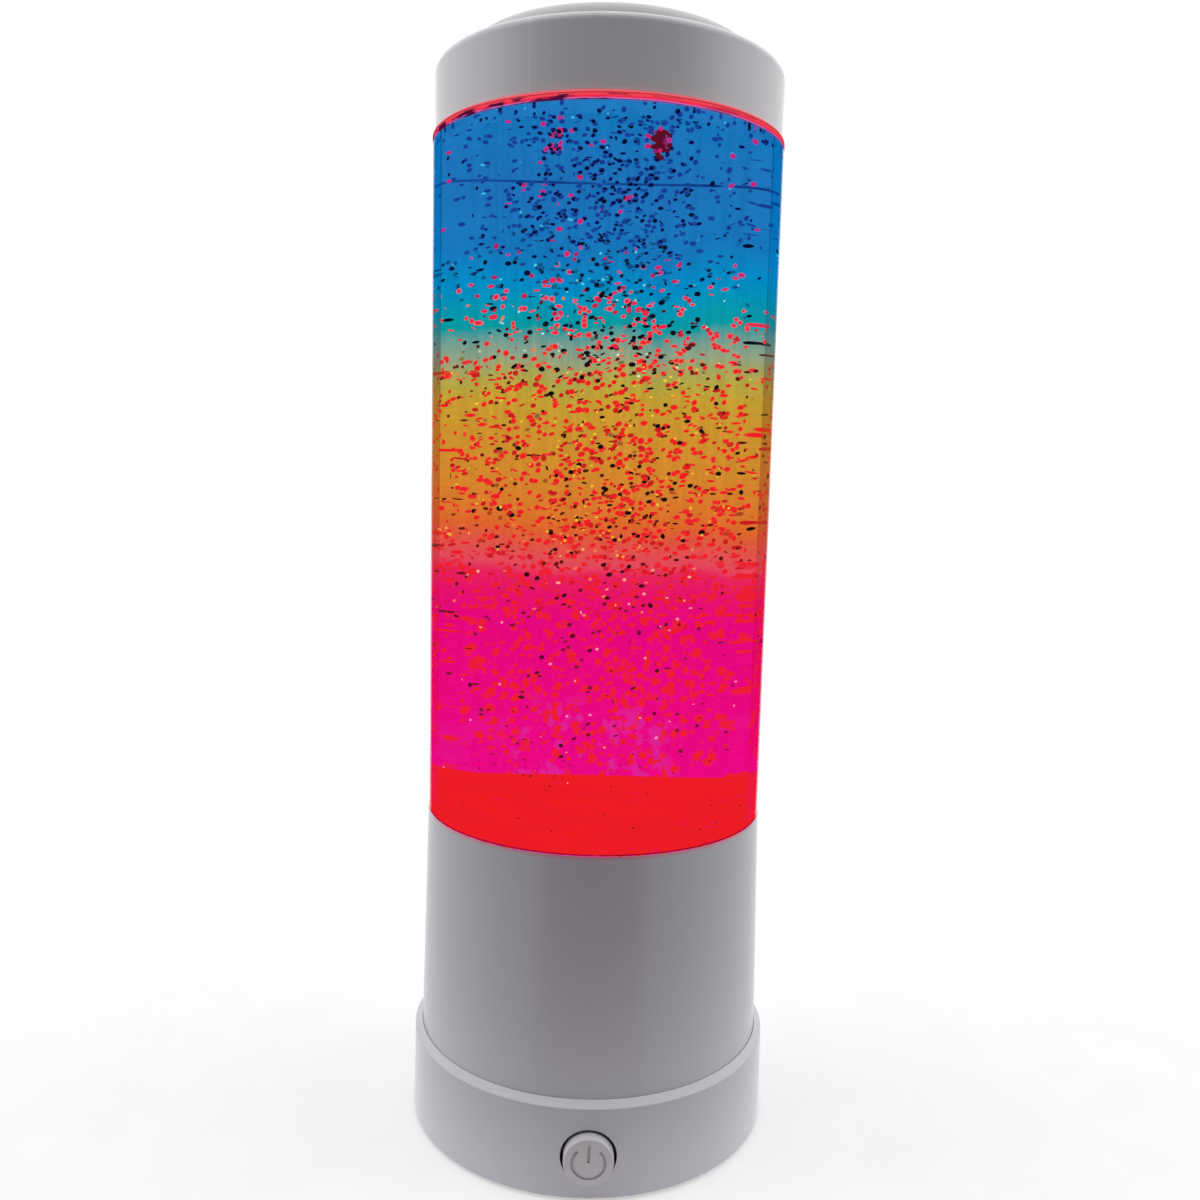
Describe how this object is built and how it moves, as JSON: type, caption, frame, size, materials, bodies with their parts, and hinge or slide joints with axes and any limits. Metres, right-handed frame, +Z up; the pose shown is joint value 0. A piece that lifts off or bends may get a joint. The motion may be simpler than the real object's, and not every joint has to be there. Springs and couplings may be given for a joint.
{
  "type": "glitter lamp",
  "caption": "Upright table glitter lamp: a liquid tank with glitter before a rainbow film in a clear sleeve, white cap, and a white base with a round power button and a magnet stirrer.",
  "frame": {"origin": "on the surface that the lamp stands on, on the lamp's axis", "axes": "+Z up along the lamp's axis, -Y towards the front, where the power button is, +X to the right seen from the front"},
  "size_m": [0.0996, 0.1018, 0.2875],
  "materials": {
    "white_plastic": "glossy moulded white, cool grey in shade",
    "crown_plastic": "glossy moulded white",
    "clear_plastic": "clear and polished",
    "liquid": "clear liquid",
    "red_foil": "red see-through foil",
    "film": "printed rainbow film, blue at the top and magenta at the bottom, lit",
    "glowing_red": "red see-through plastic, lit from below",
    "frosted_plastic": "frosted white",
    "grey_plastic": "fine textured grey",
    "stirrer_plastic": "smooth white",
    "black_plastic": "matte black",
    "plunger_plastic": "smooth ivory",
    "screw_steel": "zinc plated",
    "motor_steel": "drawn steel can",
    "magnet": "nickel plated",
    "contact_metal": "nickel plated strip",
    "cell_wrap": "printed wrap with a bare metal nub",
    "board_green": "green board lacquer",
    "lamp_lens": "clear red lens",
    "soft_rubber": "matte black rubber",
    "seal_rubber": "grey silicone",
    "red_wire": "soft sleeve",
    "yellow_wire": "soft sleeve",
    "black_wire": "soft sleeve"
  },
  "bodies": {
    "lamp": {"foot_ring": "white_plastic", "base_housing": "white_plastic", "base_plate": "white_plastic", "top_cap": "white_plastic", "cap_crown": "crown_plastic", "clear_sleeve": "clear_plastic", "tank_tube": "clear_plastic", "tank_base": "clear_plastic", "tank_lid": "clear_plastic", "liquid_fill": "liquid", "glitter_flakes": "red_foil", "rainbow_film": "film", "floor_plate": "glowing_red", "light_ring": "glowing_red", "light_diffuser": "frosted_plastic", "battery_holder": "grey_plastic", "motor_deck": "grey_plastic", "fill_plug": "grey_plastic", "switch_body": "black_plastic", "board_parts": "black_plastic", "base_screws": "screw_steel", "deck_screws": "screw_steel", "motor_screws": "screw_steel", "board_screws": "screw_steel", "stirrer_pin": "screw_steel", "motor": "motor_steel", "battery_contacts": "contact_metal", "batteries": "cell_wrap", "control_board": "board_green", "led_board": "board_green", "leds": "lamp_lens", "rubber_pads": "soft_rubber", "plug_seal": "seal_rubber", "motor_leads": "red_wire", "light_leads": "yellow_wire", "battery_leads": "black_wire"},
    "button": {"power_button": "white_plastic", "switch_plunger": "plunger_plastic"},
    "drive": {"magnet_carrier": "grey_plastic", "drive_magnets": "magnet", "motor_shaft": "screw_steel"},
    "stirrer": {"stirrer": "stirrer_plastic", "stirrer_magnets": "magnet"},
    "door": {"battery_door": "white_plastic", "door_screw": "screw_steel"}
  },
  "joints": [
    {"name": "button_press", "type": "slide", "parent": "lamp", "child": "button", "axis": [0, 1, 0], "range_m": [0, 0.0018], "stiffness_N_per_m": 700, "springref_m": -0.002},
    {"name": "drive_spin", "type": "hinge", "parent": "lamp", "child": "drive", "pos_m": [0, 0, 0.075], "axis": [0, 0, 1], "continuous": true},
    {"name": "stirrer_spin", "type": "hinge", "parent": "lamp", "child": "stirrer", "pos_m": [0, 0, 0.083], "axis": [0, 0, 1], "continuous": true},
    {"name": "door_swing", "type": "hinge", "parent": "lamp", "child": "door", "pos_m": [0, 0.0391, 0.0022], "axis": [1, 0, 0], "range_deg": [0, 95]}
  ],
  "couplings": [
    {"joint": "stirrer_spin", "follows": "drive_spin", "ratio": 1}
  ]
}
